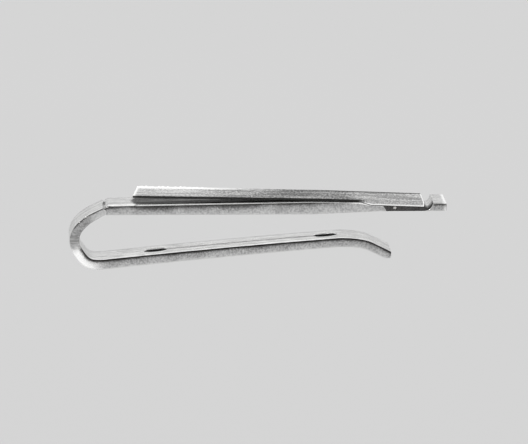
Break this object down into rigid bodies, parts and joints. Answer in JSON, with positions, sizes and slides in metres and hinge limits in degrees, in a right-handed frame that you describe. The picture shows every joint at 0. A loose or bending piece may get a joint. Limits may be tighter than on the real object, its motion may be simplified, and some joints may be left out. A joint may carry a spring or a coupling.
{
  "type": "money clip",
  "caption": "Slim sprung money clip: thick front plate, round bend, slotted back leg with a turned lip, and a thin rocking leaf hinged near the tip.",
  "frame": {"origin": "middle of the overall box, at its lowest level, which is the outside of the bend under the back leg", "axes": "+X from the bend to the tip of the front plate, +Y across the strip away from the front edge, +Z from the back leg to the leaf"},
  "size_m": [0.0568, 0.01, 0.0113],
  "materials": {
    "polished_silver": "polished flat faces, filed and slightly streaked side faces",
    "brushed_silver": "matt, scored along its length, bright at the edges",
    "spring_steel": "bright drawn"
  },
  "bodies": {
    "plate": {"front_plate": "polished_silver", "bend_spring": "polished_silver", "leaf_spring": "spring_steel", "hinge_pin": "spring_steel"},
    "leg": {"back_leg": "polished_silver"},
    "leaf": {"top_leaf": "brushed_silver"}
  },
  "joints": [
    {"name": "leg_flex", "type": "hinge", "parent": "plate", "child": "leg", "pos_m": [-0.026, 0, 0.0046], "axis": [0, 1, 0], "range_deg": [-3, 6], "stiffness_Nm_per_rad": 1.5, "deforming": ["bend_spring"]},
    {"name": "leaf_rock", "type": "hinge", "parent": "plate", "child": "leaf", "pos_m": [0.02065, 0, 0.00921], "axis": [0, 1, 0], "range_deg": [0, 7], "stiffness_Nm_per_rad": 0.05, "springref_deg": -11.46, "deforming": ["leaf_spring"]}
  ]
}
